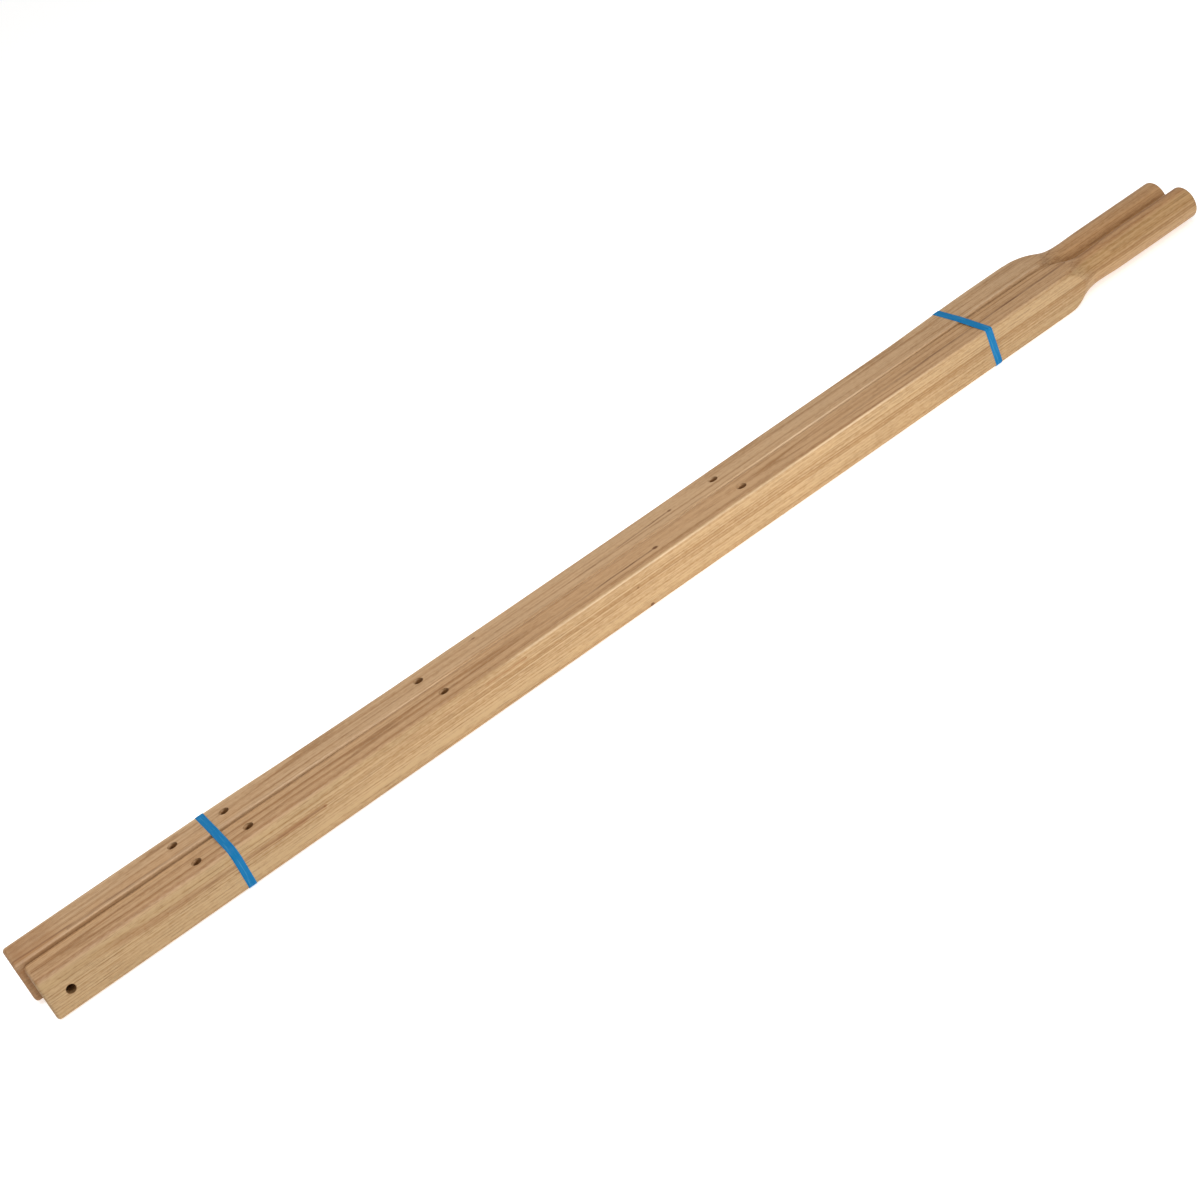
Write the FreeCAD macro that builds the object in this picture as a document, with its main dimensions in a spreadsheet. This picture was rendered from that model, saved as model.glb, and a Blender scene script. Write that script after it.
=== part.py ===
import FreeCAD, Part
import math
import os
import Sketcher

# A pair of wheelbarrow shafts, packed as they are sold: two square bars of ash of one pattern, each
# turned to a round grip at one end, side by side and held by two flat plastic straps.
# Millimetres. X runs along the shafts towards the grips, Y across them, Z up. The origin is in the
# middle of the pair's length, on the plane where the shafts meet, at the height of the straps' underside.

doc = FreeCAD.newDocument("strapped_shafts")

SIZES = {
    # the square bars: the right one was cut a little longer than the left
    "left_length": 1500,
    "right_length": 1506,
    "shaft_side": 45,
    "edge_radius": 3.5,
    "front_end_radius": 2.5,
    # the turned end, measured back from the tip of the grip
    "shoulder_back": 210,
    "shoulder_diameter": 62,
    "neck_back": 151,
    "neck_diameter": 36,
    "grip_back": 113,
    "grip_diameter": 38,
    "grip_tip_radius": 3,
    # the holes: four down through a shaft for the tray and the legs, one across it for the wheel
    "bolt_hole_diameter": 9,
    "tray_front_hole_at": 185,
    "tray_brace_hole_at": 244,
    "leg_front_hole_at": 476,
    "leg_rear_hole_at": 859,
    "axle_hole_diameter": 10,
    "axle_hole_at": 25,
    # how the two lie in the pair: the right one stands out at the front by this much
    "stagger": 7,
    # the straps, placed from the left shaft's front end
    "strap_width": 9,
    "strap_thickness": 0.55,
    "strap_corner_radius": 3,
    "strap_lap": 32,
    "front_strap_at": 216,
    "rear_strap_at": 1187,
}

sheet = doc.addObject("Spreadsheet::Sheet", "sizes")
for row, (alias, value) in enumerate(SIZES.items(), start=1):
    sheet.set(f"A{row}", alias)
    sheet.set(f"B{row}", str(value))
    sheet.setAlias(f"B{row}", alias)
doc.recompute()

START, END, CENTRE = 1, 2, 3    # a sketch line's or arc's own points
ORIGIN = (-1, 1)                # the sketch's origin point
CUTTER_CLEARANCE = 6            # how far a cut runs past the wood it removes


def size(alias):
    return float(sheet.get(alias))


def new_sketch(body, name, plane):
    """An empty sketch on one of the body's own origin planes."""
    sketch = body.newObject("Sketcher::SketchObject", name)
    origin_plane = next(o for o in body.Origin.OriginFeatures if o.Role == plane)
    sketch.AttachmentSupport = [(origin_plane, "")]
    sketch.MapMode = "FlatFace"
    return sketch


def point(x, y):
    return FreeCAD.Vector(x, y, 0)


def drive(sketch, kind, references, value, expression, name):
    """Add a dimension to a sketch, name it and bind it to the sheet."""
    index = sketch.addConstraint(Sketcher.Constraint(kind, *references, value))
    sketch.renameConstraint(index, name)
    sketch.setExpression(f"Constraints.{name}", expression)


def feature(body, kind, name, sketch):
    """A PartDesign feature that uses a whole sketch."""
    made = body.newObject(f"PartDesign::{kind}", name)
    made.Profile = (sketch, [""])
    return made


def round_edges(body, name, wanted, radius):
    """A fillet on the edges of the body's tip that the function wanted picks out."""
    base = body.Tip
    picked = [f"Edge{i}" for i, edge in enumerate(base.Shape.Edges, start=1) if wanted(edge)]
    if not picked:
        raise ValueError(f"{body.Label}: no edge to round for {name}")
    fillet = body.newObject("PartDesign::Fillet", name)
    fillet.Base = (base, picked)
    fillet.setExpression("Radius", radius)
    doc.recompute()
    return fillet


def check_cut(body, before, name):
    """A cut that points away from the wood shows no error, so its volume is compared."""
    doc.recompute()
    if body.Shape.Volume >= before - 1:
        raise ValueError(f"{body.Label}: {name} removed nothing")


def square_blank(body, length):
    """The sawn square bar, centred on the body's X axis, with its four long edges rounded."""
    sketch = new_sketch(body, "section", "YZ_Plane")
    half = size("shaft_side") / 2
    corners = [point(-half, -half), point(half, -half), point(half, half), point(-half, half)]
    for i in range(4):
        sketch.addGeometry(Part.LineSegment(corners[i], corners[(i + 1) % 4]))
    for i in range(4):
        sketch.addConstraint(Sketcher.Constraint("Coincident", i, END, (i + 1) % 4, START))
        sketch.addConstraint(Sketcher.Constraint("Vertical" if i % 2 else "Horizontal", i))
    sketch.addConstraint(Sketcher.Constraint("Equal", 0, 1))
    sketch.addConstraint(Sketcher.Constraint("Symmetric", 0, START, 1, END, *ORIGIN))
    drive(sketch, "DistanceX", (0, START, 0, END), 2 * half, "sizes.shaft_side", "side")

    bar = feature(body, "Pad", "bar", sketch)
    bar.setExpression("Length", f"sizes.{length}")
    doc.recompute()

    def runs_along(edge):
        first, last = edge.Vertexes[0].Point, edge.Vertexes[-1].Point
        return abs(first.x - last.x) > size(length) / 2

    round_edges(body, "long_edges", runs_along, "sizes.edge_radius")


def arc(sketch, centre, radius, first_angle, last_angle):
    """An arc in a sketch, drawn anticlockwise, with angles in radians. Returns its index."""
    circle = Part.Circle(centre, FreeCAD.Vector(0, 0, 1), radius)
    return sketch.addGeometry(Part.ArcOfCircle(circle, first_angle, last_angle))


def ogee(sketch, start, end):
    """Two equal arcs from start to end, level at both ends. Returns its two end points' references."""
    half_run = (end.x - start.x) / 2
    half_rise = (end.y - start.y) / 2
    radius = (half_run**2 + half_rise**2) / (2 * abs(half_rise))
    turn = math.asin(half_run / radius)
    top, bottom = math.pi / 2, -math.pi / 2
    if half_rise < 0:
        first = arc(sketch, start - point(0, radius), radius, top - turn, top)
        last = arc(sketch, end + point(0, radius), radius, bottom - turn, bottom)
        outer, middle = END, START
    else:
        first = arc(sketch, start + point(0, radius), radius, bottom, bottom + turn)
        last = arc(sketch, end - point(0, radius), radius, top, top + turn)
        outer, middle = START, END
    sketch.addConstraint(Sketcher.Constraint("Tangent", first, middle, last, middle))
    sketch.addConstraint(Sketcher.Constraint("Equal", first, last))
    for index in (first, last):
        sketch.addConstraint(Sketcher.Constraint("Vertical", index, CENTRE, index, outer))
    return (first, outer), (last, outer)


def turned_grip(body, length):
    """The lathe's cut: a shoulder, a neck and a straight grip, round about the body's X axis."""
    sketch = new_sketch(body, "grip_profile", "XZ_Plane")
    shoulder, neck, grip = [
        point(size(length) - size(f"{name}_back"), size(f"{name}_diameter") / 2)
        for name in ("shoulder", "neck", "grip")
    ]
    past_end = size(length) + CUTTER_CLEARANCE
    outside = size("shaft_side") / math.sqrt(2) + CUTTER_CLEARANCE

    fall_start, fall_end = ogee(sketch, shoulder, neck)
    rise_start, rise_end = ogee(sketch, neck, grip)
    back = [point(past_end, grip.y), point(past_end, outside), point(shoulder.x, outside)]
    outline = [grip, *back, shoulder]
    lines = [sketch.addGeometry(Part.LineSegment(*pair)) for pair in zip(outline, outline[1:])]
    grip_line, end_line, back_line, entry_line = lines

    sketch.addConstraint(Sketcher.Constraint("Coincident", *fall_end, *rise_start))
    sketch.addConstraint(Sketcher.Constraint("Coincident", *rise_end, grip_line, START))
    for line, following in zip(lines, lines[1:]):
        sketch.addConstraint(Sketcher.Constraint("Coincident", line, END, following, START))
    sketch.addConstraint(Sketcher.Constraint("Coincident", entry_line, END, *fall_start))
    for line in (grip_line, back_line):
        sketch.addConstraint(Sketcher.Constraint("Horizontal", line))
    for line in (end_line, entry_line):
        sketch.addConstraint(Sketcher.Constraint("Vertical", line))
    corners = ("shoulder", fall_start, shoulder), ("neck", fall_end, neck), ("grip", rise_end, grip)
    for name, end, at in corners:
        drive(sketch, "DistanceX", (*ORIGIN, *end), at.x, f"sizes.{length} - sizes.{name}_back", f"{name}_at")
        radius = f"sizes.{name}_diameter / 2"
        drive(sketch, "DistanceY", (*ORIGIN, *end), at.y, radius, f"{name}_radius")
    drive(sketch, "DistanceX", (*ORIGIN, back_line, START), past_end,
          f"sizes.{length} + {CUTTER_CLEARANCE}", "past_end")
    drive(sketch, "DistanceY", (*ORIGIN, back_line, START), outside,
          f"sizes.shaft_side / sqrt(2) + {CUTTER_CLEARANCE}", "outside")

    before = body.Shape.Volume
    groove = feature(body, "Groove", "turned_end", sketch)
    axis = next(o for o in body.Origin.OriginFeatures if o.Role == "X_Axis")
    groove.ReferenceAxis = (axis, [""])
    groove.Angle = 360
    check_cut(body, before, "the turned end")


def drill(body, name, plane, holes, diameter):
    """Round holes right through the bar, square to the plane, at named distances from the front end."""
    sketch = new_sketch(body, f"{name}_centres", plane)
    for hole in holes:
        at = size(f"{hole}_at")
        circle = Part.Circle(point(at, 0), FreeCAD.Vector(0, 0, 1), size(diameter) / 2)
        index = sketch.addGeometry(circle)
        sketch.addConstraint(Sketcher.Constraint("PointOnObject", index, CENTRE, -1))
        drive(sketch, "DistanceX", (*ORIGIN, index, CENTRE), at, f"sizes.{hole}_at", f"{hole}_at")
        drive(sketch, "Diameter", (index,), size(diameter), f"sizes.{diameter}", f"{hole}_diameter")
    before = body.Shape.Volume
    pocket = feature(body, "Pocket", name, sketch)
    pocket.Type = "ThroughAll"
    pocket.SideType = "Symmetric"
    check_cut(body, before, name)


def shaft(name, length, side, front):
    """One shaft. side is the expression for its axis's Y, front for its front end's X."""
    body = doc.addObject("PartDesign::Body", name)
    body.Label = name
    square_blank(body, length)
    turned_grip(body, length)
    bolt_holes = ["tray_front_hole", "tray_brace_hole", "leg_front_hole", "leg_rear_hole"]
    drill(body, "bolt_holes", "XY_Plane", bolt_holes, "bolt_hole_diameter")
    drill(body, "axle_hole", "XZ_Plane", ["axle_hole"], "axle_hole_diameter")

    def at_front(edge):
        return all(abs(v.Point.x) < 0.01 for v in edge.Vertexes)

    def at_tip(edge):
        return all(abs(v.Point.x - size(length)) < 0.01 for v in edge.Vertexes)

    round_edges(body, "front_end", at_front, "sizes.front_end_radius")
    round_edges(body, "grip_tip", at_tip, "sizes.grip_tip_radius")
    body.setExpression("Placement.Base.x", front)
    body.setExpression("Placement.Base.y", side)
    body.setExpression("Placement.Base.z", "sizes.strap_thickness + sizes.shaft_side / 2")
    doc.recompute()
    return body


def rounded_rectangle(sketch, name, width, height, radius):
    """A closed outline centred on the sketch's origin. Each size is a (number, expression) pair."""
    half_width, half_height, corner = width[0] / 2, height[0] / 2, radius[0]
    sides = []
    arcs = []
    for quarter in range(4):
        across = (half_width, half_height)[quarter % 2]
        along = (half_height, half_width)[quarter % 2]
        turn = FreeCAD.Rotation(FreeCAD.Vector(0, 0, 1), 90 * quarter)
        low = turn.multVec(point(across, corner - along))
        high = turn.multVec(point(across, along - corner))
        centre = turn.multVec(point(across - corner, along - corner))
        begin = math.radians(90 * quarter)
        circle = Part.Circle(centre, FreeCAD.Vector(0, 0, 1), corner)
        sides.append(sketch.addGeometry(Part.LineSegment(low, high)))
        arcs.append(sketch.addGeometry(Part.ArcOfCircle(circle, begin, begin + math.pi / 2)))
    for quarter in range(4):
        sketch.addConstraint(Sketcher.Constraint("Tangent", sides[quarter], END, arcs[quarter], START))
        following = sides[(quarter + 1) % 4]
        sketch.addConstraint(Sketcher.Constraint("Tangent", arcs[quarter], END, following, START))
        sketch.addConstraint(Sketcher.Constraint("Horizontal" if quarter % 2 else "Vertical", sides[quarter]))
    for arc in arcs[1:]:
        sketch.addConstraint(Sketcher.Constraint("Equal", arcs[0], arc))
    sketch.addConstraint(Sketcher.Constraint("Symmetric", sides[0], START, sides[2], START, *ORIGIN))
    drive(sketch, "Radius", (arcs[0],), corner, radius[1], f"{name}_corner")
    drive(sketch, "DistanceX", (sides[2], START, sides[0], END), width[0], width[1], f"{name}_width")
    drive(sketch, "DistanceY", (sides[3], START, sides[1], START), height[0], height[1], f"{name}_height")


def strap(name, place):
    """One tight strap round both shafts, centred on the pair, with its welded lap on the right."""
    body = doc.addObject("PartDesign::Body", name)
    body.Label = name
    side, thickness = size("shaft_side"), size("strap_thickness")
    corner, lap = size("strap_corner_radius"), size("strap_lap")

    sketch = new_sketch(body, "loop", "YZ_Plane")
    rounded_rectangle(
        sketch, "inner",
        (2 * side, "2 * sizes.shaft_side"),
        (side, "sizes.shaft_side"),
        (corner, "sizes.strap_corner_radius"),
    )
    rounded_rectangle(
        sketch, "outer",
        (2 * side + 2 * thickness, "2 * sizes.shaft_side + 2 * sizes.strap_thickness"),
        (side + 2 * thickness, "sizes.shaft_side + 2 * sizes.strap_thickness"),
        (corner + thickness, "sizes.strap_corner_radius + sizes.strap_thickness"),
    )
    band = feature(body, "Pad", "band", sketch)
    band.SideType = "Symmetric"
    band.setExpression("Length", "sizes.strap_width")
    doc.recompute()

    lap_sketch = new_sketch(body, "lap_outline", "YZ_Plane")
    inner, outer = side + thickness, side + 2 * thickness
    corners = [point(inner, -lap / 2), point(outer, -lap / 2), point(outer, lap / 2), point(inner, lap / 2)]
    for i in range(4):
        lap_sketch.addGeometry(Part.LineSegment(corners[i], corners[(i + 1) % 4]))
    for i in range(4):
        lap_sketch.addConstraint(Sketcher.Constraint("Coincident", i, END, (i + 1) % 4, START))
        lap_sketch.addConstraint(Sketcher.Constraint("Vertical" if i % 2 else "Horizontal", i))
    drive(lap_sketch, "DistanceX", (*ORIGIN, 0, START), inner,
          "sizes.shaft_side + sizes.strap_thickness", "lap_from")
    drive(lap_sketch, "DistanceX", (0, START, 0, END), thickness, "sizes.strap_thickness", "lap_thickness")
    drive(lap_sketch, "DistanceY", (0, START, *ORIGIN), lap / 2, "sizes.strap_lap / 2", "lap_below")
    drive(lap_sketch, "DistanceY", (*ORIGIN, 1, END), lap / 2, "sizes.strap_lap / 2", "lap_above")
    lap_pad = feature(body, "Pad", "welded_lap", lap_sketch)
    lap_pad.SideType = "Symmetric"
    lap_pad.setExpression("Length", "sizes.strap_width")

    body.setExpression("Placement.Base.x", f"(sizes.stagger - sizes.left_length) / 2 + sizes.{place}")
    body.setExpression("Placement.Base.z", "sizes.strap_thickness + sizes.shaft_side / 2")
    doc.recompute()
    return body


pieces = [
    shaft("left_shaft", "left_length", "-sizes.shaft_side / 2", "(sizes.stagger - sizes.left_length) / 2"),
    shaft("right_shaft", "right_length", "sizes.shaft_side / 2", "-(sizes.stagger + sizes.left_length) / 2"),
    strap("front_strap", "front_strap_at"),
    strap("rear_strap", "rear_strap_at"),
]

doc.recompute()
failed = [o.Name for o in doc.Objects if "Invalid" in o.State or "Error" in o.State]
if failed:
    raise ValueError(f"failed objects: {failed}")
os.makedirs("parts", exist_ok=True)
for piece in pieces:
    shape = piece.Shape
    if shape.isNull() or not shape.isValid() or len(shape.Solids) != 1:
        raise ValueError(f"{piece.Label} is not one valid solid")
for piece in pieces:
    piece.Shape.exportStep(f"parts/{piece.Label}.step")
    print(piece.Label, round(piece.Shape.Volume / 1000, 2), "cm3", piece.Shape.BoundBox)
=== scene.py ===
import math
import random
import bpy
import numpy as np
from mathutils import Matrix, Vector, noise
from mathutils.geometry import convex_hull_2d


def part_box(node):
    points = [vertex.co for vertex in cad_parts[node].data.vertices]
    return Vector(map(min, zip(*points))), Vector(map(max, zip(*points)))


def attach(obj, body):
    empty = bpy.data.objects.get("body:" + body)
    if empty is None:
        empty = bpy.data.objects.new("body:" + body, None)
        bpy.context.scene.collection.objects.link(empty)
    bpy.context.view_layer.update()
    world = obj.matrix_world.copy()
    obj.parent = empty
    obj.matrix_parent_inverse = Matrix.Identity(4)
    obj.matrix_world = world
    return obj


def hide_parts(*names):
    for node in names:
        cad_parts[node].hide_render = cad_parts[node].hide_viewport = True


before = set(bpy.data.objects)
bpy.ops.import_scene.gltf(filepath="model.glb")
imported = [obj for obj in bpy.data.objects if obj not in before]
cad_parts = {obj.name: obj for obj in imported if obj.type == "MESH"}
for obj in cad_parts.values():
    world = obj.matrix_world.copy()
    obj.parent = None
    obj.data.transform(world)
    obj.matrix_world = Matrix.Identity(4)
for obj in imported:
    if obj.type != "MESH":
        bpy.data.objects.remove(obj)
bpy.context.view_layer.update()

# ---------------------------------------------------------------------------------------------
# The two shafts. Each is one straight-grained bar of ash, sawn square, planed and sanded on its
# four faces, with its last 210 mm turned to a shoulder, a neck and a round grip. The bolt holes
# are drilled down through it, and the wheel's hole across it.
# ---------------------------------------------------------------------------------------------

EDGE_RADIUS = 0.0035
SEAM_EDGE_RADIUS = 0.0018       # where the two shafts meet
LEAST_EDGE_RADIUS = 0.0008      # what is left of an edge's radius at the rim of the front end
FRONT_END_RADIUS = 0.004
SHOULDER_BACK, SHOULDER_RADIUS = 0.210, 0.031    # the turned end is measured back from the grip's tip
NECK_BACK, NECK_RADIUS = 0.151, 0.018
GRIP_BACK, GRIP_RADIUS = 0.113, 0.019
GRIP_TIP_RADIUS = 0.003
SHOULDER_BLEND = 0.0012         # how soon sanding lets the flats run into the turned shoulder
HAND_SANDING = 0.00012          # how far it leaves the surface off true
BOLT_HOLES_AT = (0.185, 0.244, 0.476, 0.859)     # and the holes from the front end
BOLT_HOLE_RADIUS = 0.0045
AXLE_HOLE_AT = 0.025
AXLE_HOLE_RADIUS = 0.005
HOLE_TEAR = (-0.0006, 0.0006, 0)                 # which way the bolt holes' upper mouths are torn
FLAT_STEPS = 26                 # points along one flat of the section
CORNER_STEPS = 8                # points round one of its rounded corners
BAR_STEP, TURNED_STEP, GRIP_STEP = 0.010, 0.001, 0.005     # between two rings of points


def ease(x, start, end):
    """0 before start, 1 after end, and an even S between them."""
    share = min(max((x - start) / (end - start), 0), 1)
    return share * share * (3 - 2 * share)


def ogee(x, x0, r0, x1, r1):
    """The height of an S of two equal arcs from (x0, r0) to (x1, r1), level at both ends."""
    half_run, half_rise = (x1 - x0) / 2, (r1 - r0) / 2
    radius = (half_run**2 + half_rise**2) / (2 * abs(half_rise))
    from_end = min(x - x0, x1 - x)
    drop = math.copysign(radius - math.sqrt(radius**2 - from_end**2), half_rise)
    return r0 + drop if x - x0 < x1 - x else r1 - drop


def turned_radius(back):
    """How far from the axis the lathe leaves wood, this far back from the grip's tip, or None on the
    square bar, which it doesn't touch."""
    if back > SHOULDER_BACK:
        return None
    if back > NECK_BACK:
        return ogee(-back, -SHOULDER_BACK, SHOULDER_RADIUS, -NECK_BACK, NECK_RADIUS)
    if back > GRIP_BACK:
        return ogee(-back, -NECK_BACK, NECK_RADIUS, -GRIP_BACK, GRIP_RADIUS)
    into_tip = max(GRIP_TIP_RADIUS - back, 0)
    return GRIP_RADIUS - GRIP_TIP_RADIUS + math.sqrt(max(GRIP_TIP_RADIUS**2 - into_tip**2, 0))


def square_section(half, radii):
    """Points round a square with its own radius at each corner, anticlockwise in the YZ plane.
    The corners come in the order upper right, upper left, lower left, lower right."""
    points = []
    for corner, radius in enumerate(radii):
        begin = math.pi / 2 * corner
        centre = Vector((half - radius, half - radius))
        centre.rotate(Matrix.Rotation(begin, 2))
        following = radii[(corner + 1) % 4]
        for step in range(CORNER_STEPS):
            turn = begin + math.pi / 2 * step / CORNER_STEPS
            points.append(centre + radius * Vector((math.cos(turn), math.sin(turn))))
        last = Vector((half - radius, half))
        first = Vector((following - half, half))
        for step in range(FLAT_STEPS):
            on_flat = last.lerp(first, step / FLAT_STEPS)
            on_flat.rotate(Matrix.Rotation(begin, 2))
            points.append(on_flat)
    return points


def soft_least(a, b, blend):
    """The smaller of two lengths, blended where they are nearly equal."""
    share = max(blend - abs(a - b), 0) / blend
    return min(a, b) - share * share * blend / 4


def stations(length):
    """Distances from the front end at which the bar has a ring of points: close at its shaped ends."""
    shoulder, grip = length - SHOULDER_BACK, length - GRIP_BACK
    front = [FRONT_END_RADIUS * (1 - math.cos(math.radians(a))) for a in range(0, 90, 15)]
    run = np.arange(FRONT_END_RADIUS, shoulder, BAR_STEP).tolist()
    turned = np.arange(shoulder, grip, TURNED_STEP).tolist()
    straight_grip = np.arange(grip, length - GRIP_TIP_RADIUS, GRIP_STEP).tolist()
    tip = [length - GRIP_TIP_RADIUS * (1 - math.sin(math.radians(a))) for a in range(0, 91, 10)]
    return front + run + turned + straight_grip + tip


def drill_bit(centre, direction, radius, depth, tear, rng):
    """A cutter for one hole: a drill's width inside, opening where the bit broke the surface fibres. At
    its upper mouth more of them are torn out, mostly on the side that tear points to."""
    around = 40                        # points round the hole
    mouth, beyond = depth / 2, 0.003   # the cutter reaches this far beyond the wood
    skin, flare = 0.0001, 0.00025
    torn_deep, torn_wide = 0.0024, 0.0009
    profile = [(-mouth - beyond, radius + flare, 0), (-mouth + skin, radius + flare, 0),
               (-mouth + flare, radius, 0), (mouth - torn_deep, radius, 0),
               (mouth - skin, radius + torn_wide, 1), (mouth + beyond, radius + torn_wide, 1)]
    if not tear:
        profile[3:] = [(mouth - flare, radius, 0), (mouth + beyond, radius + flare, 0)]
    ragged = [rng.uniform(-0.00018, 0.00022) for _ in range(around)]
    turn = Vector((0, 0, 1)).rotation_difference(Vector(direction)).to_matrix()
    points, faces = [], []
    for along, wide, torn in profile:
        for i in range(around):
            angle = 2 * math.pi * i / around
            r = wide + (ragged[i] if wide > radius else 0)
            point = Vector((r * math.cos(angle), r * math.sin(angle), along))
            if torn:
                point += Vector(tear)
            points.append(centre + turn @ point)
    for ring in range(len(profile) - 1):
        for i in range(around):
            a, b = ring * around + i, ring * around + (i + 1) % around
            faces.append((a, b, b + around, a + around))
    faces.append(tuple(reversed(range(around))))
    faces.append(tuple(range((len(profile) - 1) * around, len(profile) * around)))
    mesh = bpy.data.meshes.new("drill_bit")
    mesh.from_pydata(points, [], faces)
    return bpy.data.objects.new("drill_bit", mesh)


def shaft_axis(node):
    """The front end of a CAD shaft's own axis, and the shaft's length and half its side."""
    low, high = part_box(node)
    front = Vector((low[0], (low[1] + high[1]) / 2, (low[2] + high[2]) / 2))
    return front, high[0] - low[0], (high[1] - low[1]) / 2


def ash_shaft(name, node, corner_radii, bow, seed):
    """One shaft in the place of a CAD node. corner_radii(x) gives its four edges' radii, and bow(x) how
    far the wood has moved sideways and up, x from the front end."""
    axis, length, half = shaft_axis(node)
    points, faces = [], []
    rings = stations(length)
    for x in rings:
        into_end = max(FRONT_END_RADIUS - x, 0)
        inset = FRONT_END_RADIUS - math.sqrt(FRONT_END_RADIUS**2 - into_end**2)
        radii = [max(r - inset, LEAST_EDGE_RADIUS) for r in corner_radii(x)]
        lathe = turned_radius(length - x)
        shift = bow(x)
        for across, up in square_section(half - inset, radii):
            reach = math.hypot(across, up)
            kept = reach if lathe is None else soft_least(reach, lathe, SHOULDER_BLEND)
            hand = noise.noise(Vector((x * 9 + seed, across * 40, up * 40))) * HAND_SANDING
            scale = (kept + hand) / reach
            points.append(axis + Vector((x, across * scale + shift[0], up * scale + shift[1])))
    around = 4 * (FLAT_STEPS + CORNER_STEPS)
    for ring in range(len(rings) - 1):
        for i in range(around):
            a, b = ring * around + i, ring * around + (i + 1) % around
            faces.append((a, b, b + around, a + around))
    faces.append(tuple(reversed(range(around))))
    faces.append(tuple(range(len(points) - around, len(points))))
    mesh = bpy.data.meshes.new(name)
    mesh.from_pydata(points, [], faces)
    piece = bpy.data.objects.new(name, mesh)
    bpy.context.collection.objects.link(piece)

    rng = random.Random(seed)
    holes = [(at, (0, 0, 1), BOLT_HOLE_RADIUS) for at in BOLT_HOLES_AT]
    holes.append((AXLE_HOLE_AT, (0, 1, 0), AXLE_HOLE_RADIUS))
    for at, direction, radius in holes:
        shift = bow(at)
        tear = HOLE_TEAR if direction[2] else None
        bit = drill_bit(axis + Vector((at, *shift)), direction, radius, 2 * half, tear, rng)
        bpy.context.collection.objects.link(bit)
        drilling = piece.modifiers.new("drilling", "BOOLEAN")
        drilling.operation = "DIFFERENCE"
        drilling.solver = "EXACT"
        drilling.object = bit
        bpy.context.view_layer.update()
        graph = bpy.context.evaluated_depsgraph_get()
        drilled = bpy.data.meshes.new_from_object(piece.evaluated_get(graph))
        piece.modifiers.clear()
        piece.data = drilled
        bpy.data.objects.remove(bit)
    piece.data.name = name
    piece.data.shade_smooth()
    piece.data.set_sharp_from_angle(angle=math.radians(32))
    return piece


# Node work. Each call places one node and returns the socket it puts out; a socket given as a
# value is linked, and anything else is set on the node.

def put(tree, kind, values=(), out=0, **settings):
    node = tree.nodes.new(kind)
    for key, value in settings.items():
        setattr(node, key, value)
    for socket, value in dict(values).items():
        if isinstance(value, bpy.types.NodeSocket):
            tree.links.new(value, node.inputs[socket])
        else:
            node.inputs[socket].default_value = value
    return node.outputs[out]


def calc(tree, operation, a, b=0.0, c=0.0):
    return put(tree, "ShaderNodeMath", {0: a, 1: b, 2: c}, operation=operation)


def stretch(tree, vector, along, across, up):
    """The vector with each axis multiplied: a small number makes that axis's detail long."""
    return put(tree, "ShaderNodeVectorMath", {0: vector, 1: (along, across, up)}, operation="MULTIPLY")


def fibre_noise(tree, vector, seed, along, across, detail=2.0):
    """Noise drawn out along the grain, 0 to 1."""
    return put(tree, "ShaderNodeTexNoise",
               {"Vector": stretch(tree, vector, along, across, across), "W": seed, "Scale": 1.0,
                "Detail": detail, "Roughness": 0.55},
               noise_dimensions="4D")


def centred(tree, value):
    """A noise value, 0 to 1, moved to swing about 0."""
    return calc(tree, "SUBTRACT", value, 0.5)


def rescale(tree, value, low, high, to_low=0.0, to_high=1.0, smooth=True):
    return put(tree, "ShaderNodeMapRange",
               {"Value": value, "From Min": low, "From Max": high, "To Min": to_low, "To Max": to_high},
               interpolation_type="SMOOTHSTEP" if smooth else "LINEAR")


def blend_colour(tree, share, a, b, kind="MIX"):
    return put(tree, "ShaderNodeMix", {0: share, 6: a, 7: b}, out=2, data_type="RGBA", blend_type=kind)


def new_group(name, inputs, outputs):
    """An empty shader node group. Returns it with its input sockets by name and its output node."""
    group = bpy.data.node_groups.new(name, "ShaderNodeTree")
    for label, kind, start in inputs:
        socket = group.interface.new_socket(name=label, in_out="INPUT", socket_type=kind)
        if start is not None:
            socket.default_value = start
    for label, kind in outputs:
        group.interface.new_socket(name=label, in_out="OUTPUT", socket_type=kind)
    entry = group.nodes.new("NodeGroupInput")
    leave = group.nodes.new("NodeGroupOutput")
    return group, entry.outputs, leave.inputs


def use_group(tree, group, values):
    """Places a group in a material with its own values, and returns its outputs."""
    node = tree.nodes.new("ShaderNodeGroup")
    node.node_tree = group
    for socket, value in values.items():
        if isinstance(value, bpy.types.NodeSocket):
            tree.links.new(value, node.inputs[socket])
        else:
            node.inputs[socket].default_value = value
    return node.outputs


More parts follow.
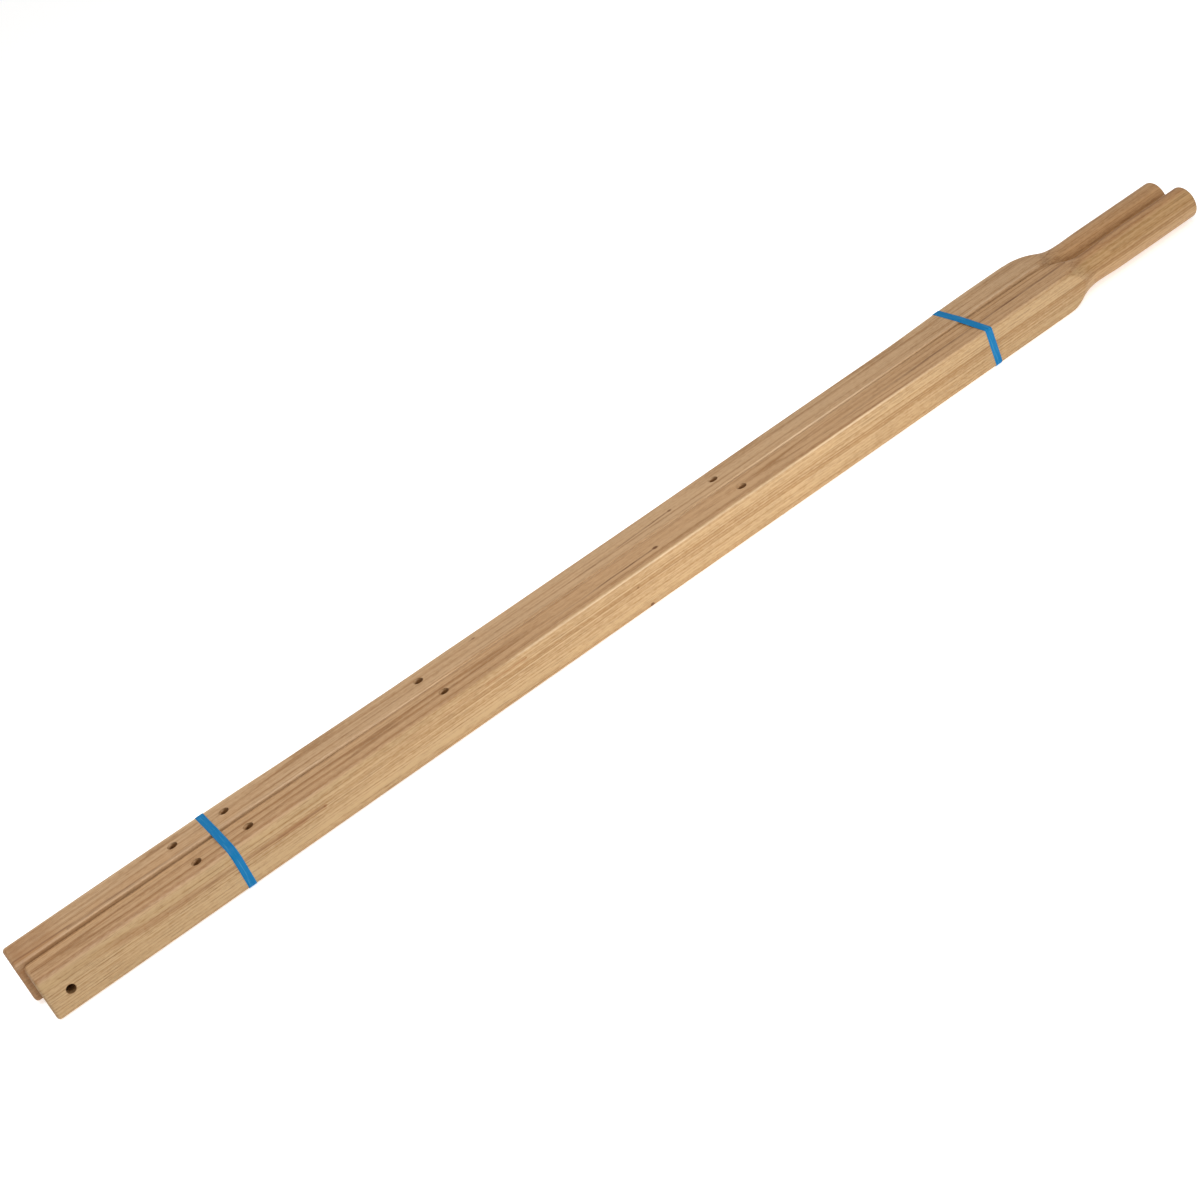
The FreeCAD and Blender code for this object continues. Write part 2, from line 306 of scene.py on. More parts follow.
def build_ash_grain():
    """Ring-porous wood through the whole thickness: growth rings round a distant pith, browner heartwood
    near the pith, open vessels in the early part of each ring, and straight fibre along the bar."""
    tree, given, result = new_group(
        "ash_grain",
        [("Place", "NodeSocketVector", None),
         ("Pith Across", "NodeSocketFloat", 0.0),
         ("Pith Up", "NodeSocketFloat", 0.075),
         ("Lean", "NodeSocketFloat", 0.004),
         ("Ring Width", "NodeSocketFloat", 0.0032),
         ("Heart Edge", "NodeSocketFloat", 0.056),
         ("Seed", "NodeSocketFloat", 0.0),
         ("Sapwood", "NodeSocketColor", (0.49, 0.32, 0.17, 1)),
         ("Heartwood", "NodeSocketColor", (0.45, 0.29, 0.18, 1))],
        [("Colour", "NodeSocketColor"), ("Roughness", "NodeSocketFloat"), ("Height", "NodeSocketFloat")],
    )
    place, seed = given["Place"], given["Seed"]
    along, across, up = put(tree, "ShaderNodeSeparateXYZ", {0: place}).node.outputs

    # distance from the pith, which leans along the bar and wanders a little
    leaning = calc(tree, "MULTIPLY", along, given["Lean"])
    aside = calc(tree, "SUBTRACT", calc(tree, "ADD", across, leaning), given["Pith Across"])
    above = calc(tree, "SUBTRACT", up, given["Pith Up"])
    squares = calc(tree, "ADD", calc(tree, "MULTIPLY", aside, aside), calc(tree, "MULTIPLY", above, above))
    distance = calc(tree, "SQRT", squares)
    sweep = centred(tree, fibre_noise(tree, place, seed, 1.3, 8.0, 1.0))
    distance = calc(tree, "MULTIPLY_ADD", sweep, 0.010, distance)
    wave = centred(tree, fibre_noise(tree, place, seed, 8.0, 35.0, 1.0))
    rings = calc(tree, "DIVIDE", calc(tree, "MULTIPLY_ADD", wave, 0.0012, distance), given["Ring Width"])
    uneven = put(tree, "ShaderNodeTexNoise",
                 {"W": calc(tree, "ADD", rings, seed), "Scale": 0.6, "Detail": 1.0}, noise_dimensions="1D")
    rings = calc(tree, "MULTIPLY_ADD", uneven, 1.0, rings)
    within = calc(tree, "FRACT", rings)
    year = calc(tree, "FLOOR", rings)
    vigour = put(tree, "ShaderNodeTexWhiteNoise", {"W": calc(tree, "ADD", year, seed)}, noise_dimensions="1D")

    # the early wood is a narrow porous band at the start of each ring
    starts = rescale(tree, within, 0.0, 0.06)
    ends = rescale(tree, within, 0.10, 0.36, 1.0, 0.0)
    band = calc(tree, "MULTIPLY", calc(tree, "MULTIPLY", starts, ends),
                calc(tree, "MULTIPLY_ADD", vigour, 0.50, 0.50))
    vessels = fibre_noise(tree, place, seed, 42.0, 2100.0, 1.0)
    pores = rescale(tree, calc(tree, "MULTIPLY_ADD", band, 0.09, vessels), 0.62, 0.72)

    # lines that run with the fibre, from the finest to a finger's width
    fibre = centred(tree, fibre_noise(tree, place, seed, 5.0, 850.0, 3.0))
    lines = centred(tree, fibre_noise(tree, place, seed, 1.6, 300.0, 2.0))
    lines = rescale(tree, lines, -0.11, 0.11, -0.5, 0.5)
    threads = rescale(tree, fibre_noise(tree, place, seed, 0.9, 150.0, 1.0), 0.56, 0.70)
    pale_threads = rescale(tree, fibre_noise(tree, place, calc(tree, "ADD", seed, 31.0), 1.4, 260.0, 1.0),
                           0.62, 0.72)
    bands = centred(tree, fibre_noise(tree, place, seed, 0.9, 75.0, 1.0))
    mottle = centred(tree, fibre_noise(tree, place, seed, 14.0, 55.0, 2.0))
    speckle = centred(tree, fibre_noise(tree, place, seed, 190.0, 640.0, 1.0))

    edge = calc(tree, "MULTIPLY_ADD", bands, 0.007, distance)
    past_edge = calc(tree, "SUBTRACT", edge, given["Heart Edge"])
    heart = rescale(tree, past_edge, -0.002, 0.002, 1.0, 0.0)
    clear_wood = blend_colour(tree, heart, given["Sapwood"], given["Heartwood"])
    brown_wood = blend_colour(tree, 1.0, clear_wood, (0.65, 0.53, 0.39, 1), "MULTIPLY")

    # how brown the wood is at each point
    brown = calc(tree, "MULTIPLY_ADD", band, 0.68, 0.18)
    brown = calc(tree, "MULTIPLY_ADD", lines, 0.40, brown)
    brown = calc(tree, "MULTIPLY_ADD", fibre, 1.2, brown)
    brown = calc(tree, "MULTIPLY_ADD", bands, 0.4, brown)
    brown = calc(tree, "MULTIPLY_ADD", speckle, 1.3, brown)
    brown = calc(tree, "MULTIPLY_ADD", threads, 0.38, brown)
    brown = calc(tree, "MULTIPLY_ADD", pale_threads, -0.35, brown)
    colour = blend_colour(tree, put(tree, "ShaderNodeClamp", {0: brown}), clear_wood, brown_wood)
    lightness = calc(tree, "MULTIPLY_ADD", mottle, 0.16, 1.0)
    even = put(tree, "ShaderNodeCombineColor", {0: lightness, 1: lightness, 2: lightness})
    colour = blend_colour(tree, 1.0, colour, even, "MULTIPLY")
    colour = blend_colour(tree, calc(tree, "MULTIPLY", pores, 0.42), colour, (0.17, 0.09, 0.04, 1))
    tree.links.new(colour, result["Colour"])

    rough = calc(tree, "MULTIPLY_ADD", fibre, 0.30, calc(tree, "MULTIPLY_ADD", pores, 0.18, 0.47))
    tree.links.new(rough, result["Roughness"])
    height = calc(tree, "MULTIPLY_ADD", pores, -0.10, calc(tree, "MULTIPLY", fibre, 0.06))
    height = calc(tree, "MULTIPLY_ADD", band, -0.03, height)
    tree.links.new(height, result["Height"])
    return tree


def build_grain_and_shade_mark():
    """A thread in the grain that grows stronger from its start and ends in a small round fleck; a wide one
    is also used as painted shade. Its mask is 1 on the mark. Face makes the depth below the surface count for
    little, so that the thread stays in sight."""
    tree, given, result = new_group(
        "grain_and_shade_mark",
        [("Place", "NodeSocketVector", None),
         ("Start", "NodeSocketVector", (0, 0, 0)),
         ("Fleck", "NodeSocketVector", (0.1, 0, 0)),
         ("Thread Width", "NodeSocketFloat", 0.0008),
         ("Fleck Size", "NodeSocketFloat", 0.0022),
         ("Face", "NodeSocketVector", (1, 1, 0.15)),
         ("Seed", "NodeSocketFloat", 0.0)],
        [("Mask", "NodeSocketFloat")],
    )
    place = given["Place"]
    start = put(tree, "ShaderNodeSeparateXYZ", {0: given["Start"]}).node.outputs[0]
    end = put(tree, "ShaderNodeSeparateXYZ", {0: given["Fleck"]}).node.outputs[0]
    here = put(tree, "ShaderNodeSeparateXYZ", {0: place}).node.outputs[0]
    share = put(tree, "ShaderNodeMapRange", {"Value": here, "From Min": start, "From Max": end})
    centre = put(tree, "ShaderNodeMix", {0: share, 4: given["Start"], 5: given["Fleck"]},
                 out=1, data_type="VECTOR")
    wander = put(tree, "ShaderNodeTexNoise",
                 {"Vector": stretch(tree, place, 22.0, 0.0, 0.0), "W": given["Seed"], "Scale": 1.0,
                  "Detail": 3.0},
                 out=1, noise_dimensions="4D")
    wander = put(tree, "ShaderNodeVectorMath", {0: wander, 1: (0.5, 0.5, 0.5)}, operation="SUBTRACT")
    wander = stretch(tree, wander, 0.0, 0.004, 0.004)
    centre = put(tree, "ShaderNodeVectorMath", {0: centre, 1: wander}, operation="ADD")
    away = put(tree, "ShaderNodeVectorMath", {0: place, 1: centre}, operation="SUBTRACT")
    away = put(tree, "ShaderNodeVectorMath", {0: away, 1: given["Face"]}, operation="MULTIPLY")
    aside = put(tree, "ShaderNodeVectorMath", {0: stretch(tree, away, 0.0, 1.0, 1.0)},
                out=1, operation="LENGTH")
    wide = calc(tree, "MULTIPLY", given["Thread Width"], 2.0)
    thread = rescale(tree, aside, given["Thread Width"], wide, 1.0, 0.0)
    inside = calc(tree, "MULTIPLY", calc(tree, "GREATER_THAN", share, 0.0),
                  calc(tree, "LESS_THAN", share, 1.0))
    growing = rescale(tree, share, 0.0, 0.7, 0.10, 0.85)
    uneven = rescale(tree, fibre_noise(tree, place, given["Seed"], 30.0, 0.0), 0.35, 0.65, 0.45, 1.0)
    growing = calc(tree, "MULTIPLY", growing, uneven)
    thread = calc(tree, "MULTIPLY", thread, calc(tree, "MULTIPLY", inside, growing))
    from_fleck = put(tree, "ShaderNodeVectorMath", {0: place, 1: given["Fleck"]}, operation="SUBTRACT")
    from_fleck = put(tree, "ShaderNodeVectorMath", {0: from_fleck, 1: given["Face"]}, operation="MULTIPLY")
    from_fleck = put(tree, "ShaderNodeVectorMath", {0: stretch(tree, from_fleck, 0.75, 1.0, 1.0)},
                     out=1, operation="LENGTH")
    half = calc(tree, "MULTIPLY", given["Fleck Size"], 0.5)
    fleck = rescale(tree, from_fleck, half, given["Fleck Size"], 1.0, 0.0)
    tree.links.new(calc(tree, "MAXIMUM", thread, fleck), result["Mask"])
    return tree


def build_drilled_wall_and_shade():
    """The mask of a drilled hole's wall, browned by the bit and darkened with painted shade. Across is 0
    along the hole's own axis.
    """
    tree, given, result = new_group(
        "drilled_wall_and_shade",
        [("Place", "NodeSocketVector", None),
         ("Centre", "NodeSocketVector", (0, 0, 0)),
         ("Across", "NodeSocketVector", (1, 1, 0)),
         ("Radius", "NodeSocketFloat", 0.0045)],
        [("Mask", "NodeSocketFloat")],
    )
    away = put(tree, "ShaderNodeVectorMath", {0: given["Place"], 1: given["Centre"]}, operation="SUBTRACT")
    away = put(tree, "ShaderNodeVectorMath", {0: away, 1: given["Across"]}, operation="MULTIPLY")
    distance = put(tree, "ShaderNodeVectorMath", {0: away}, out=1, operation="LENGTH")
    outer = calc(tree, "ADD", given["Radius"], 0.0008)
    tree.links.new(rescale(tree, distance, given["Radius"], outer, 1.0, 0.0), result["Mask"])
    return tree


def build_arris_wear_and_highlight():
    """The mask of a square bar's four rounded edges, where sanding has left the wood paler and closer and a
    painted highlight lightens them further. It is strongest between two places along the bar, where the
    painted highlight lies."""
    tree, given, result = new_group(
        "arris_wear_and_highlight",
        [("Place", "NodeSocketVector", None),
         ("Half Side", "NodeSocketFloat", 0.0225),
         ("From", "NodeSocketFloat", 0.5),
         ("To", "NodeSocketFloat", 1.0),
         ("Seed", "NodeSocketFloat", 0.0)],
        [("Mask", "NodeSocketFloat")],
    )
    along, across, up = put(tree, "ShaderNodeSeparateXYZ", {0: given["Place"]}).node.outputs
    reach = calc(tree, "ADD", calc(tree, "ABSOLUTE", across), calc(tree, "ABSOLUTE", up))
    corner = calc(tree, "MULTIPLY", given["Half Side"], 2.0)
    corner = rescale(tree, calc(tree, "SUBTRACT", corner, reach), 0.0014, 0.0021, 1.0, 0.0)
    rise = rescale(tree, along, calc(tree, "SUBTRACT", given["From"], 0.25), given["From"], 0.35, 1.0)
    fall = rescale(tree, along, given["To"], calc(tree, "ADD", given["To"], 0.25), 1.0, 0.35)
    broken = fibre_noise(tree, given["Place"], given["Seed"], 6.0, 200.0, 3.0)
    broken = rescale(tree, broken, 0.30, 0.62, 0.45, 1.0)
    mask = calc(tree, "MULTIPLY", corner, calc(tree, "MULTIPLY", calc(tree, "MULTIPLY", rise, fall), broken))
    tree.links.new(mask, result["Mask"])
    return tree


ash_grain = build_ash_grain()
grain_and_shade_mark = build_grain_and_shade_mark()
drilled_wall_and_shade = build_drilled_wall_and_shade()
arris_wear_and_highlight = build_arris_wear_and_highlight()

DARK_GRAIN = (0.130, 0.048, 0.012, 1)
RED_BROWN = (0.27, 0.115, 0.035, 1)
ORANGE_WOOD = (0.43, 0.225, 0.090, 1)
TURNED_TINT = (0.96, 0.885, 0.80, 1)
# dark hole-wall colour: browning by the bit and painted shade inside the holes
BROWNED_AND_SHADED_HOLE_WOOD = (0.21, 0.090, 0.024, 1)
END_GRAIN = (0.22, 0.125, 0.055, 1)
# pale edge colour: partly sanded wood, partly a painted highlight
SANDED_AND_HIGHLIGHT_WOOD = (0.74, 0.56, 0.37, 1)


def on_face(face, along, over, half):
    """A place on a straight shaft's face, over being across the top or up the left side."""
    return Vector((along, over, half) if face == "top" else (along, -half, over))


def ash_material(name, node, bow, grain, marks):
    """Bare sanded ash on one shaft: the grain with its own values, its marks, its drilled holes and its
    darker end grain, with painted shade in the holes and a painted highlight on the edges. Each mark is
    (face, start, fleck, thread width, fleck size, strength, colour), its places (along, over) from the middle
    of the front end. Most marks are grain; one, on the right shaft, is painted shade."""
    axis, length, half = shaft_axis(node)
    material = bpy.data.materials.new(name)
    material.use_nodes = True
    tree = material.node_tree
    shader = tree.nodes["Principled BSDF"]
    coordinates = tree.nodes.new("ShaderNodeTexCoord").outputs
    place = put(tree, "ShaderNodeVectorMath", {0: coordinates["Object"], 1: axis}, operation="SUBTRACT")
    wood = use_group(tree, ash_grain, {"Place": place, **grain})
    colour = wood["Colour"]

    for number, (face, start, fleck, width, size, strength, stain) in enumerate(marks):
        mark = use_group(tree, grain_and_shade_mark, {
            "Place": place,
            "Start": on_face(face, *start, half) + Vector((0, *bow(start[0]))),
            "Fleck": on_face(face, *fleck, half) + Vector((0, *bow(fleck[0]))),
            "Thread Width": width, "Fleck Size": size, "Seed": number + grain["Seed"],
            "Face": (1, 1, 0.15) if face == "top" else (1, 0.15, 1),
        })
        colour = blend_colour(tree, calc(tree, "MULTIPLY", mark["Mask"], strength), colour, stain)

    # the turned wood is burnished a little browner than the planed bar
    along = put(tree, "ShaderNodeSeparateXYZ", {0: place}).node.outputs[0]
    turned = rescale(tree, along, length - SHOULDER_BACK, length - NECK_BACK)
    colour = blend_colour(tree, turned, colour, blend_colour(tree, 1.0, colour, TURNED_TINT, "MULTIPLY"))

    # the rounded edges are blended toward a pale colour, partly sanding wear and partly a painted highlight
    arris = use_group(tree, arris_wear_and_highlight, {
        "Place": place, "Half Side": half, "From": 0.58, "To": 0.95, "Seed": grain["Seed"],
    })
    colour = blend_colour(tree, calc(tree, "MULTIPLY", arris["Mask"], 0.6), colour, SANDED_AND_HIGHLIGHT_WOOD)

    # hole walls are darkened, partly the bit's browning and partly painted shade inside the holes; less in
    # the axle hole, whose wall is lit
    walls = 0.0
    drilled = [(at, BOLT_HOLE_RADIUS, (1, 1, 0), 0.9) for at in BOLT_HOLES_AT]
    drilled.append((AXLE_HOLE_AT, AXLE_HOLE_RADIUS, (1, 0, 1), 0.5))
    for at, radius, across, browned_and_shaded in drilled:
        hole = use_group(tree, drilled_wall_and_shade, {
            "Place": place, "Centre": (at, *bow(at)), "Across": across, "Radius": radius,
        })
        walls = calc(tree, "MAXIMUM", walls, calc(tree, "MULTIPLY", hole["Mask"], browned_and_shaded))
    colour = blend_colour(tree, walls, colour, BROWNED_AND_SHADED_HOLE_WOOD)

    facing = put(tree, "ShaderNodeSeparateXYZ", {0: coordinates["Normal"]}).node.outputs[0]
    endways = rescale(tree, calc(tree, "ABSOLUTE", facing), 0.25, 0.95)
    colour = blend_colour(tree, calc(tree, "MULTIPLY", endways, 0.45), colour, END_GRAIN)
    rough = calc(tree, "MULTIPLY_ADD", endways, 0.2, wood["Roughness"])
    rough = calc(tree, "MULTIPLY_ADD", arris["Mask"], -0.12, rough)
    bump = put(tree, "ShaderNodeBump", {"Height": wood["Height"], "Strength": 1.0, "Distance": 0.001})
    tree.links.new(colour, shader.inputs["Base Color"])
    tree.links.new(rough, shader.inputs["Roughness"])
    tree.links.new(bump, shader.inputs["Normal"])
    shader.inputs["Specular IOR Level"].default_value = 0.35
    return material


def left_edges(x):
    """The left shaft's upper outer edge is sanded round at the front and is crisp further back."""
    upper_outer = 0.012 - 0.0065 * ease(x, 0.20, 0.42) - 0.0034 * ease(x, 0.42, 0.60)
    return [SEAM_EDGE_RADIUS, upper_outer, EDGE_RADIUS, SEAM_EDGE_RADIUS]


def left_bow(x):
    """The left shaft is straight."""
    return 0.0, 0.0


left_shaft = ash_shaft("left_ash_shaft", "left_shaft", left_edges, left_bow, seed=3)
left_shaft.data.materials.append(ash_material(
    "left_ash", "left_shaft", left_bow,
    grain={"Pith Across": 0.004, "Pith Up": 0.075, "Lean": 0.002, "Ring Width": 0.0029, "Heart Edge": 0.0590,
           "Seed": 3.7, "Sapwood": (0.475, 0.317, 0.159, 1), "Heartwood": (0.470, 0.290, 0.148, 1)},
    marks=[
        ("left", (0.10, 0.0075), (0.313, 0.0058), 0.0008, 0.0014, 0.9, DARK_GRAIN),
        ("left", (0.22, 0.0068), (0.314, 0.0058), 0.0018, 0.0018, 0.75, RED_BROWN),
        ("left", (0.02, 0.0180), (0.135, 0.0072), 0.0028, 0.0010, 0.50, RED_BROWN),
        ("left", (0.30, 0.0068), (0.110, 0.0078), 0.0026, 0.0010, 0.45, RED_BROWN),
        ("left", (0.36, 0.0120), (0.560, 0.0142), 0.0007, 0.0012, 0.75, RED_BROWN),
        ("top", (0.590, -0.0056), (0.741, -0.0028), 0.0009, 0.0034, 1.0, DARK_GRAIN),
        ("top", (0.93, -0.0045), (1.322, 0.0020), 0.0011, 0.0010, 1.0, DARK_GRAIN),
        ("left", (0.695, 0.0065), (0.699, 0.0065), 0.0005, 0.0015, 0.6, DARK_GRAIN),
        ("left", (0.704, -0.0195), (0.706, -0.0195), 0.0010, 0.0024, 0.95, DARK_GRAIN),
    ]))
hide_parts("left_shaft")
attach(left_shaft, "root")

SEAM_GAP = 0.0005
# where the right shaft bends, and how high it stands there above a straight one
RIGHT_BENDS = ((0.107, 0.0037), (0.587, -0.0004), (0.727, -0.0004), (1.107, 0.0011),
               (1.257, 0.0034), (1.297, 0.0034), (1.387, 0.0))


def right_edges(x):
    """The right shaft has a little wane on its upper outer edge, and is sharper next to the shoulder."""
    wane = 0.0015 * ease(x, 0.25, 0.33) * (1 - ease(x, 0.45, 0.53))
    sharper = 0.002 * ease(x, 1.10, 1.22)
    return [EDGE_RADIUS + wane - sharper, SEAM_EDGE_RADIUS, SEAM_EDGE_RADIUS, EDGE_RADIUS]


def right_bow(x):
    """The right shaft leaves a thin gap beside the left one, and follows its bends upwards."""
    up = RIGHT_BENDS[0][1]
    for (start, low), (end, high) in zip(RIGHT_BENDS, RIGHT_BENDS[1:]):
        up += (high - low) * ease(x, start, end)
    return SEAM_GAP, up


right_shaft = ash_shaft("right_ash_shaft", "right_shaft", right_edges, right_bow, seed=8)
right_shaft.data.materials.append(ash_material(
    "right_ash", "right_shaft", right_bow,
    grain={"Pith Across": 0.010, "Pith Up": 0.080, "Lean": -0.003, "Ring Width": 0.0033, "Heart Edge": 0.0690,
           "Seed": 8.2, "Sapwood": (0.52, 0.325, 0.165, 1), "Heartwood": (0.485, 0.314, 0.171, 1)},
    marks=[
        ("top", (0.640, -0.0080), (0.798, -0.0016), 0.0007, 0.0026, 0.8, DARK_GRAIN),
        ("top", (0.330, 0.0200), (0.467, 0.0195), 0.0010, 0.0020, 0.7, DARK_GRAIN),
        ("top", (0.540, 0.0090), (0.549, 0.0095), 0.0006, 0.0022, 0.7, DARK_GRAIN),
        ("left", (0.30, 0.0205), (0.010, 0.0195), 0.0024, 0.0010, 0.7, ORANGE_WOOD),
        ("top", (0.08, -0.0215), (-0.010, -0.0165), 0.0040, 0.0010, 0.8, ORANGE_WOOD),
        ("top", (0.30, -0.0190), (0.060, -0.0180), 0.0010, 0.0010, 0.75, DARK_GRAIN),
        ("top", (0.20, -0.0190), (-0.008, -0.0115), 0.0010, 0.0010, 0.75, DARK_GRAIN),
        # painted shade: the front of this side, which faces the left shaft, is darkened red-brown over its
        # whole width where the left shaft shades it
        ("left", (0.060, 0.0000), (-0.005, 0.0000), 0.0200, 0.0010, 1.0, RED_BROWN),
    ]))
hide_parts("right_shaft")
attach(right_shaft, "root")

# ---------------------------------------------------------------------------------------------
# The two packing straps. Each is a length of blue polypropylene strap, embossed with a fine
# diamond pattern, pulled tight round both shafts by a machine and closed by welding its lapped
# ends together on the right-hand side.
# ---------------------------------------------------------------------------------------------

STRAP_WIDTH = 0.009
STRAP_THICKNESS = 0.0005
STRAP_LAP = 0.032
LAP_START = 0.003                     # the inner end lies this far up the right-hand side's flat
LAP_END_LIFT = 0.0006                 # the outer end isn't welded and stands off
STRAP_CLEARANCE = 0.00003
WELD_FROM, WELD_TO = 0.007, 0.024     # the part of the lap that the machine's serrated jaw pressed
WELD_PITCH, WELD_DEPTH = 0.0016, 0.00014
STRAP_STEP = 0.0008                   # between two rows of points along the strap
STRAP_SWAY = 0.00035                  # how far it wanders off a straight line
EMBOSS_PITCH = 0.0017
# half of the strap's section: how far out from its middle, and how high above the wood, in shares
# of half the width and of the thickness
STRAP_PROFILE = ((0.0, 1.0), (0.6, 0.98), (0.95, 0.9), (1.0, 0.6),
                 (1.0, 0.3), (0.96, 0.04), (0.6, 0.0), (0.0, 0.0))


def round_the_shafts(x):
    """The way a tight band takes round both shafts at this x: points in the YZ plane, evenly spaced,
    anticlockwise from the foot of the right-hand side's flat, and the distance round."""
    outline = []
    for node, edges, bow in (("left_shaft", left_edges, left_bow), ("right_shaft", right_edges, right_bow)):
        axis, _, half = shaft_axis(node)
        from_front = x - axis.x
        middle = Vector(axis.yz) + Vector(bow(from_front))
        outline += [middle + point for point in square_section(half, edges(from_front))]
    hull = [outline[i] for i in convex_hull_2d(outline)]
    if sum(a.cross(b) for a, b in zip(hull, hull[1:] + hull[:1])) < 0:
        hull.reverse()
    right = max(point.x for point in hull)
    start = max((i for i, p in enumerate(hull) if p.x > right - 1e-5), key=lambda i: -hull[i].y)
    hull = hull[start:] + hull[:start + 1]
    distances = [0.0]
    for a, b in zip(hull, hull[1:]):
        distances.append(distances[-1] + (b - a).length)
    total = distances[-1]
    count = round(total / STRAP_STEP)
    even = np.arange(count) * total / count
    across = np.interp(even, distances, [p.x for p in hull])
    up = np.interp(even, distances, [p.y for p in hull])
    return [Vector(p) for p in zip(across, up)], total


def strap_band(name, node, seed):
    """A strap in the place of a CAD node: one flat band that goes once round and laps over its start."""
    low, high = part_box(node)
    x = (low[0] + high[0]) / 2
    route, total = round_the_shafts(x)
    count = len(route)
    step = total / count
    first = round(LAP_START / step)
    rows = count + round(STRAP_LAP / step)
    profile = list(STRAP_PROFILE)
    profile += [(-share, height) for share, height in reversed(STRAP_PROFILE[1:-1])]
    points, faces = [], []
    for row in range(rows):
        here = (first + row) % count
        along = route[(here + 2) % count] - route[here - 2]
        outward = Vector((along.y, -along.x)).normalized()
        into_lap = (row - count) * step
        lift = STRAP_CLEARANCE + 1.06 * STRAP_THICKNESS * ease(into_lap, -0.004, 0.0)
        lift += LAP_END_LIFT * ease(into_lap, STRAP_LAP - 0.006, STRAP_LAP + 0.001)
        pressed = ease(into_lap, WELD_FROM, WELD_FROM + 0.001)
        pressed *= 1 - ease(into_lap, WELD_TO - 0.001, WELD_TO)
        pressed *= WELD_DEPTH * (1 + math.cos(2 * math.pi * into_lap / WELD_PITCH)) / 2
        sway = noise.noise(Vector((row * step * 12, seed, 0))) * STRAP_SWAY
        for share, height in profile:
            tall = height * STRAP_THICKNESS - (pressed if height > 0.5 and abs(share) < 0.9 else 0)
            place = route[here] + outward * (lift + tall)
            points.append((x + sway + share * STRAP_WIDTH / 2, place.x, place.y))
    around = len(profile)
    for row in range(rows - 1):
        for i in range(around):
            a, b = row * around + i, row * around + (i + 1) % around
            faces.append((a, b, b + around, a + around))
    faces.append(tuple(reversed(range(around))))
    faces.append(tuple(range(len(points) - around, len(points))))
    mesh = bpy.data.meshes.new(name)
    mesh.from_pydata(points, [], faces)
    mesh.shade_smooth()
    mesh.set_sharp_from_angle(angle=math.radians(40))
    piece = bpy.data.objects.new(name, mesh)
    bpy.context.collection.objects.link(piece)
    return piece


def build_embossing():
    """The roller's diamond pattern, laid out along X and along the strap's way round the shafts."""
    tree, given, result = new_group(
        "embossing",
        [("Place", "NodeSocketVector", None), ("Pitch", "NodeSocketFloat", 0.0017)],
        [("Height", "NodeSocketFloat")],
    )
    turns = calc(tree, "DIVIDE", 2 * math.pi, given["Pitch"])
    place = put(tree, "ShaderNodeVectorMath", {0: given["Place"], "Scale": turns}, operation="SCALE")
    axial, across, up = put(tree, "ShaderNodeSeparateXYZ", {0: place}).node.outputs
    round_way = calc(tree, "SUBTRACT", calc(tree, "ABSOLUTE", across), up)
    one = calc(tree, "COSINE", calc(tree, "ADD", axial, round_way))
    other = calc(tree, "COSINE", calc(tree, "SUBTRACT", axial, round_way))
    tree.links.new(calc(tree, "MAXIMUM", one, other), result["Height"])
    return tree


embossing = build_embossing()


STRAP_BLUE = (0.0, 0.150, 0.365, 1)
SCUFFED_BLUE = (0.060, 0.265, 0.455, 1)


def strap_material(name, seed):
    """Blue polypropylene, a little cloudy where it was stretched and paler along its scuffs."""
    material = bpy.data.materials.new(name)
    material.use_nodes = True
    tree = material.node_tree
    shader = tree.nodes["Principled BSDF"]
    place = tree.nodes.new("ShaderNodeTexCoord").outputs["Object"]
    emboss = use_group(tree, embossing, {"Place": place, "Pitch": EMBOSS_PITCH})
    cloud = fibre_noise(tree, place, seed, 300.0, 45.0, 3.0)
    scuffs = rescale(tree, fibre_noise(tree, place, seed + 5.0, 700.0, 40.0, 4.0), 0.52, 0.68)
    raised = rescale(tree, emboss["Height"], 0.5, 1.0)
    worn = calc(tree, "MULTIPLY", scuffs, calc(tree, "MULTIPLY_ADD", raised, 0.40, 0.35))
    worn = calc(tree, "MULTIPLY_ADD", centred(tree, cloud), 0.5, worn)
    colour = blend_colour(tree, put(tree, "ShaderNodeClamp", {0: worn}), STRAP_BLUE, SCUFFED_BLUE)
    rough = calc(tree, "MULTIPLY_ADD", worn, 0.3, 0.42)
    bump = put(tree, "ShaderNodeBump", {"Height": emboss["Height"], "Strength": 1.0, "Distance": 0.00003})
    tree.links.new(colour, shader.inputs["Base Color"])
    tree.links.new(rough, shader.inputs["Roughness"])
    tree.links.new(bump, shader.inputs["Normal"])
    shader.inputs["Specular IOR Level"].default_value = 0.14
    return material


for node, seed in (("front_strap", 2.0), ("rear_strap", 6.5)):
    strap = strap_band(f"{node}_band", node, seed)
    strap.data.materials.append(strap_material(f"{node}_blue", seed))
    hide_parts(node)
    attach(strap, "root")

# ---------------------------------------------------------------------------------------------
# The floor, the light and the camera: a plain pale floor under soft studio light.
# ---------------------------------------------------------------------------------------------

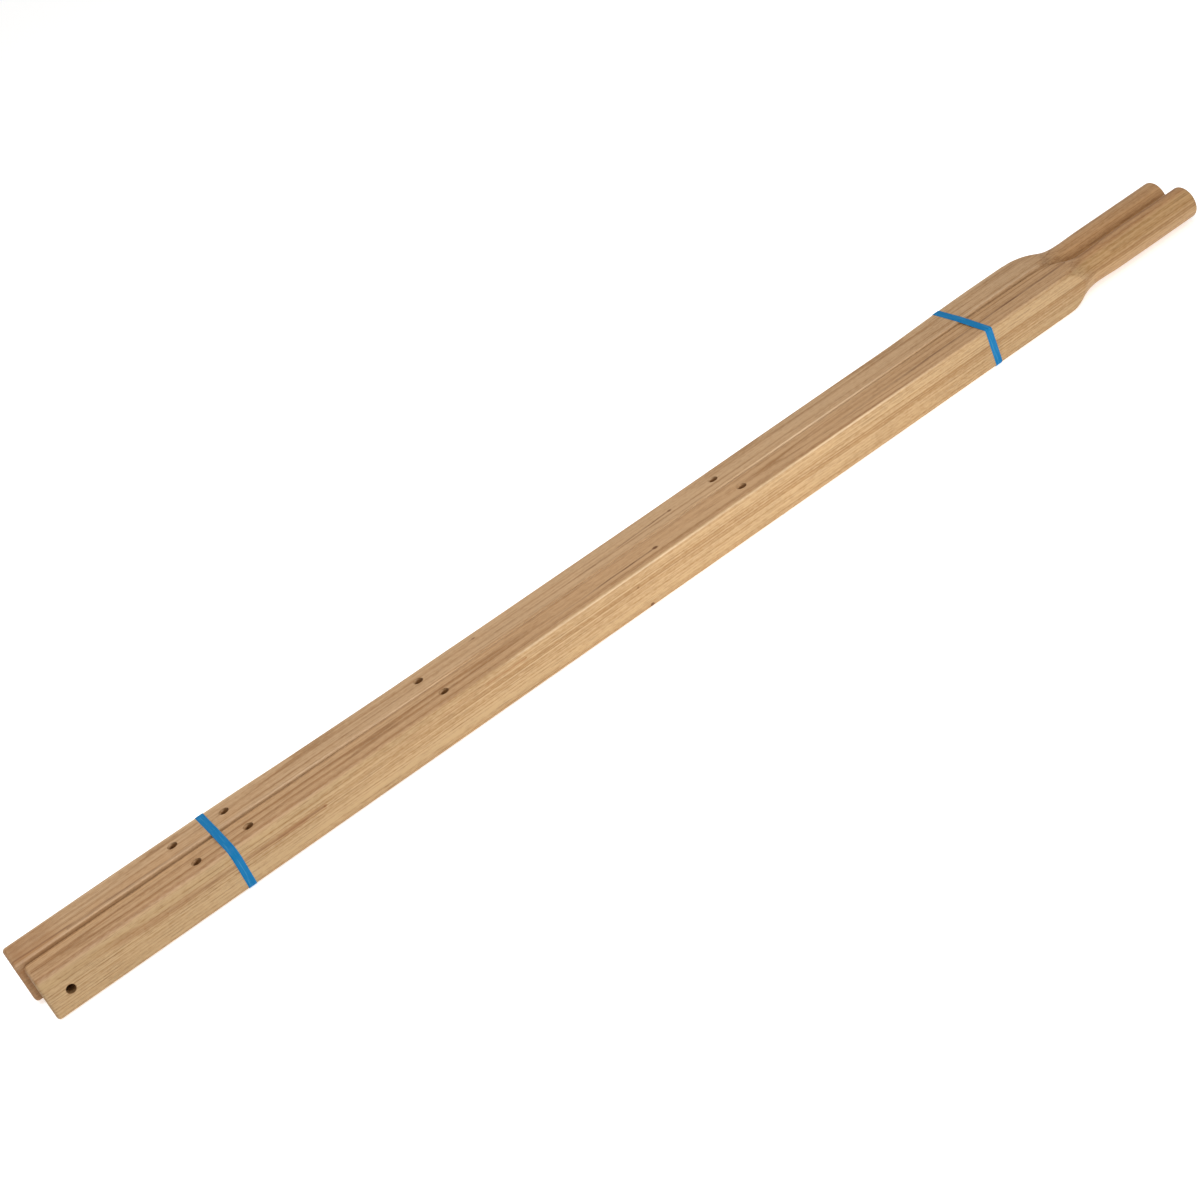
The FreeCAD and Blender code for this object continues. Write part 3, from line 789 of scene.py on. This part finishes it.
FLOOR_REACH = 60
floor_corners = [(x * FLOOR_REACH, y * FLOOR_REACH, 0) for x, y in ((-1, -1), (1, -1), (1, 1), (-1, 1))]
floor_mesh = bpy.data.meshes.new("floor")
floor_mesh.from_pydata(floor_corners, [], [(0, 1, 2, 3)])
floor = bpy.data.objects.new("floor", floor_mesh)
bpy.context.collection.objects.link(floor)
pale = bpy.data.materials.new("pale_floor")
pale.use_nodes = True
pale_shader = pale.node_tree.nodes["Principled BSDF"].inputs
pale_shader["Base Color"].default_value = (0.9, 0.9, 0.9, 1)
pale_shader["Roughness"].default_value = 0.9
pale_shader["Emission Color"].default_value = (1, 1, 1, 1)
pale_shader["Emission Strength"].default_value = 0.6
floor_mesh.materials.append(pale)

world = bpy.data.worlds.new("studio")
bpy.context.scene.world = world
world.use_nodes = True
sky = world.node_tree.nodes["Background"].inputs
sky["Color"].default_value = (1, 0.985, 0.97, 1)
sky["Strength"].default_value = 0.40


def softbox(name, place, aim, width, power, colour):
    """A round soft lamp, out of the camera's sight."""
    light = bpy.data.lights.new(name, "AREA")
    light.shape = "DISK"
    light.size = width
    light.energy = power
    light.color = colour
    lamp = bpy.data.objects.new(name, light)
    lamp.location = place
    lamp.rotation_euler = (Vector(aim) - Vector(place)).to_track_quat("-Z", "Y").to_euler()
    lamp.visible_camera = False
    bpy.context.collection.objects.link(lamp)


softbox("key", (0.10, -0.65, 0.21), (0.10, 0, 0), 0.4, 2.05, (1.0, 0.98, 0.95))
softbox("high_front", (0.1, -1.7, 2.4), (0.1, 0, 0), 1.2, 18, (1.0, 0.98, 0.95))
softbox("top", (-0.8, 0.4, 2.4), (-0.4, 0, 0), 2.0, 38, (1.0, 0.98, 0.96))

camera_data = bpy.data.cameras.new("camera")
camera_data.lens = 66.6
camera_data.sensor_width = 36
camera = bpy.data.objects.new("camera", camera_data)
bpy.context.collection.objects.link(camera)
CAMERA_PLACE = Vector((-0.7424, -1.8746, 1.1332))
AIM = Vector((-0.0783, -0.0111, 0.0231))
ROLL = math.radians(24.8)
level = (AIM - CAMERA_PLACE).to_track_quat("-Z", "Y")
camera.location = CAMERA_PLACE
camera.rotation_euler = (level.to_matrix() @ Matrix.Rotation(-ROLL, 3, "Z")).to_euler()
bpy.context.scene.camera = camera
bpy.context.scene.view_settings.view_transform = "Standard"
